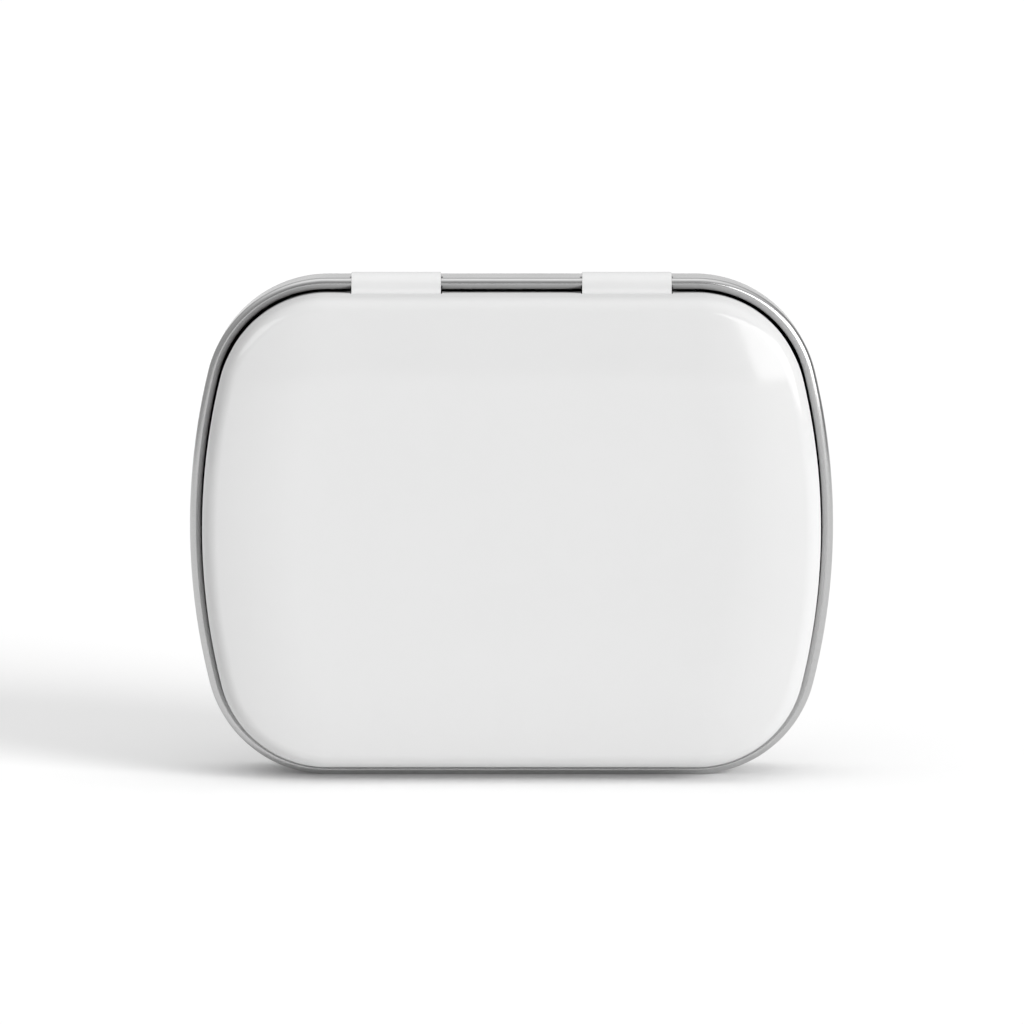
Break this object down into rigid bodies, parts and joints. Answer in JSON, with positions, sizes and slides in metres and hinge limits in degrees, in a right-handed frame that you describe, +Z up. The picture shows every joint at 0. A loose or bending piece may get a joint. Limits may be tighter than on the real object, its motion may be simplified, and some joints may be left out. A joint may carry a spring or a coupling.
{
  "type": "hinged mint tin",
  "caption": "Small pocket tin with round corners: a drawn tinplate base with a curled rim, and a white lacquered plug lid that swings on rolled hinge tabs.",
  "frame": {"origin": "on the ground under the middle of the closed tin, which stands on its straight front edge", "axes": "+X to the right along the hinge, +Y from the lid's face towards the base's bottom, +Z up from the front edge to the hinge"},
  "size_m": [0.06, 0.015, 0.0471],
  "materials": {
    "tinplate": "bare bright tinplate with a fine rolling grain",
    "white_lacquer": "glossy white stoved lacquer outside, bare tinplate inside"
  },
  "bodies": {
    "base": {"base_pan": "tinplate"},
    "lid": {"hinged_lid": "white_lacquer"}
  },
  "joints": [
    {"name": "lid_hinge", "type": "hinge", "parent": "base", "child": "lid", "pos_m": [0, -0.00047, 0.04607], "axis": [-1, 0, 0], "range_deg": [0, 180]}
  ]
}
